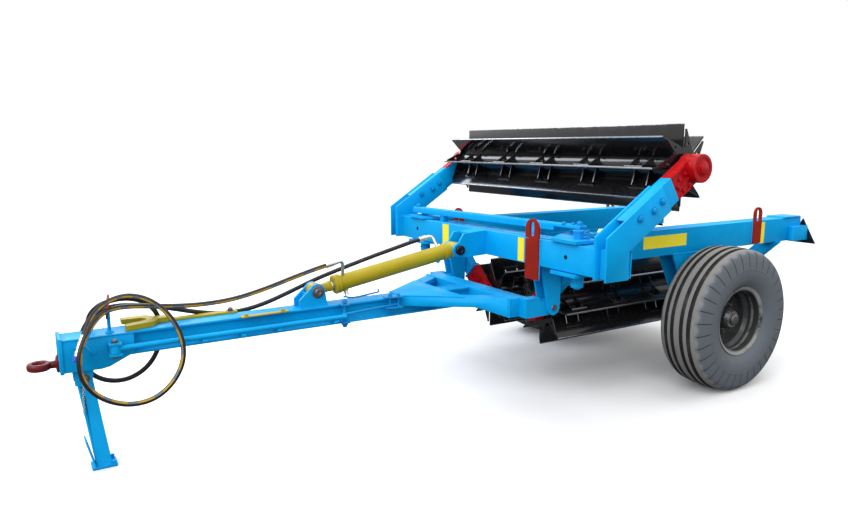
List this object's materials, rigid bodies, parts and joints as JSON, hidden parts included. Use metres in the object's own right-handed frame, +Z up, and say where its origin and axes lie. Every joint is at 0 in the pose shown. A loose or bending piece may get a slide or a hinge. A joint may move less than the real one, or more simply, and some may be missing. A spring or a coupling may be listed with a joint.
{
  "type": "land roller",
  "caption": "Towed knife-drum land roller folded for transport: wheeled side wings behind a tipping centre frame, with a lift cylinder, drawbar, tow eye and parking stand.",
  "frame": {"origin": "on the ground, at the middle of the machine's length and width", "axes": "+X forwards to the tow eye, +Y to the machine's left, +Z up"},
  "size_m": [4.841, 2.22, 1.6165],
  "materials": {
    "blue_paint": "semi-gloss",
    "bright_steel": "polished",
    "drum_paint": "gloss",
    "fitting_steel": "satin",
    "hose_rubber": "satin",
    "red_paint": "semi-gloss",
    "reflector": "gloss",
    "rim_paint": "satin",
    "tyre_rubber": "matte",
    "yellow_paint": "semi-gloss"
  },
  "bodies": {
    "drawbar": {"drawbar_beam": "blue_paint", "cross_member": "blue_paint", "drawbar_diagonals": "blue_paint", "drawbar_forks": "blue_paint", "drawbar_head": "blue_paint", "tow_eye": "red_paint", "stand_bracket": "blue_paint", "rod_clevis": "blue_paint", "hose_post": "blue_paint", "lock_fork": "yellow_paint", "draft_clevises": "blue_paint", "draft_rods": "blue_paint", "draft_rod_rests": "blue_paint", "striped_hose": "hose_rubber", "black_hose": "hose_rubber", "striped_coupler": "fitting_steel", "black_coupler": "fitting_steel", "apex_plate": "blue_paint"},
    "parking_stand": {"parking_stand": "blue_paint"},
    "centre_frame": {"crossbeam": "blue_paint", "arm_plates": "blue_paint", "inner_arms": "blue_paint", "centre_housings": "red_paint", "cylinder_bracket": "blue_paint", "hinge_lugs": "blue_paint", "transport_tie": "blue_paint", "crossbeam_lifting_lugs": "red_paint"},
    "centre_roller": {"centre_drum": "drum_paint", "centre_knives": "drum_paint"},
    "cylinder_barrel": {"cylinder_barrel": "yellow_paint", "cylinder_elbows": "fitting_steel"},
    "cylinder_rod": {"cylinder_rod": "bright_steel", "rod_eye": "yellow_paint"},
    "left_wing": {"left_wing_beam": "blue_paint", "left_wing_hinge": "blue_paint", "left_roller_hangers": "blue_paint", "left_roller_housings": "red_paint", "left_axle_bracket": "blue_paint", "left_wing_lug": "red_paint", "left_marker_bracket": "blue_paint", "left_reflector": "reflector"},
    "left_roller": {"left_drum": "drum_paint", "left_knives": "drum_paint"},
    "left_wheel": {"left_tyre": "tyre_rubber", "left_rim": "rim_paint"},
    "right_wing": {"right_wing_beam": "blue_paint", "right_wing_hinge": "blue_paint", "right_roller_hangers": "blue_paint", "right_roller_housings": "red_paint", "right_axle_bracket": "blue_paint", "right_wing_lug": "red_paint", "right_marker_bracket": "blue_paint", "right_reflector": "reflector"},
    "right_roller": {"right_drum": "drum_paint", "right_knives": "drum_paint"},
    "right_wheel": {"right_tyre": "tyre_rubber", "right_rim": "rim_paint"}
  },
  "joints": [
    {"name": "centre_frame_tip", "type": "hinge", "parent": "drawbar", "child": "centre_frame", "pos_m": [-0.2, 0, 0.585], "axis": [0, -1, 0], "range_deg": [0, 90]},
    {"name": "left_wing_fold", "type": "hinge", "parent": "centre_frame", "child": "left_wing", "pos_m": [-0.135, 0.775, 0.919], "axis": [0, 0, -1], "range_deg": [0, 90]},
    {"name": "right_wing_fold", "type": "hinge", "parent": "centre_frame", "child": "right_wing", "pos_m": [-0.135, -0.775, 0.919], "axis": [0, 0, 1], "range_deg": [0, 90]},
    {"name": "centre_roller_turn", "type": "hinge", "parent": "centre_frame", "child": "centre_roller", "pos_m": [-0.661, 0, 1.383], "axis": [0, 1, 0], "continuous": true},
    {"name": "left_roller_turn", "type": "hinge", "parent": "left_wing", "child": "left_roller", "pos_m": [-1.21, 0.26, 0.515], "axis": [1, 0, 0], "continuous": true},
    {"name": "right_roller_turn", "type": "hinge", "parent": "right_wing", "child": "right_roller", "pos_m": [-1.21, -0.26, 0.515], "axis": [1, 0, 0], "continuous": true},
    {"name": "left_wheel_turn", "type": "hinge", "parent": "left_wing", "child": "left_wheel", "pos_m": [-1.33, 0.835, 0.4445], "axis": [0, 1, 0], "continuous": true},
    {"name": "right_wheel_turn", "type": "hinge", "parent": "right_wing", "child": "right_wheel", "pos_m": [-1.33, -0.835, 0.4445], "axis": [0, 1, 0], "continuous": true},
    {"name": "cylinder_swing", "type": "hinge", "parent": "centre_frame", "child": "cylinder_barrel", "pos_m": [0.138, 0, 0.886], "axis": [0, 1, 0], "range_deg": [0, 88.4]},
    {"name": "cylinder_stroke", "type": "slide", "parent": "cylinder_barrel", "child": "cylinder_rod", "axis": [0.9855, 0, -0.1695], "range_m": [0, 0.64]},
    {"name": "parking_stand_swing", "type": "hinge", "parent": "drawbar", "child": "parking_stand", "pos_m": [2.2, 0, 0.455], "axis": [0, 1, 0], "range_deg": [0, 83]}
  ],
  "couplings": [
    {"joint": "cylinder_swing", "follows": "centre_frame_tip", "ratio": 0.97063},
    {"joint": "cylinder_stroke", "follows": "centre_frame_tip", "m_per_rad": 0.40596}
  ]
}
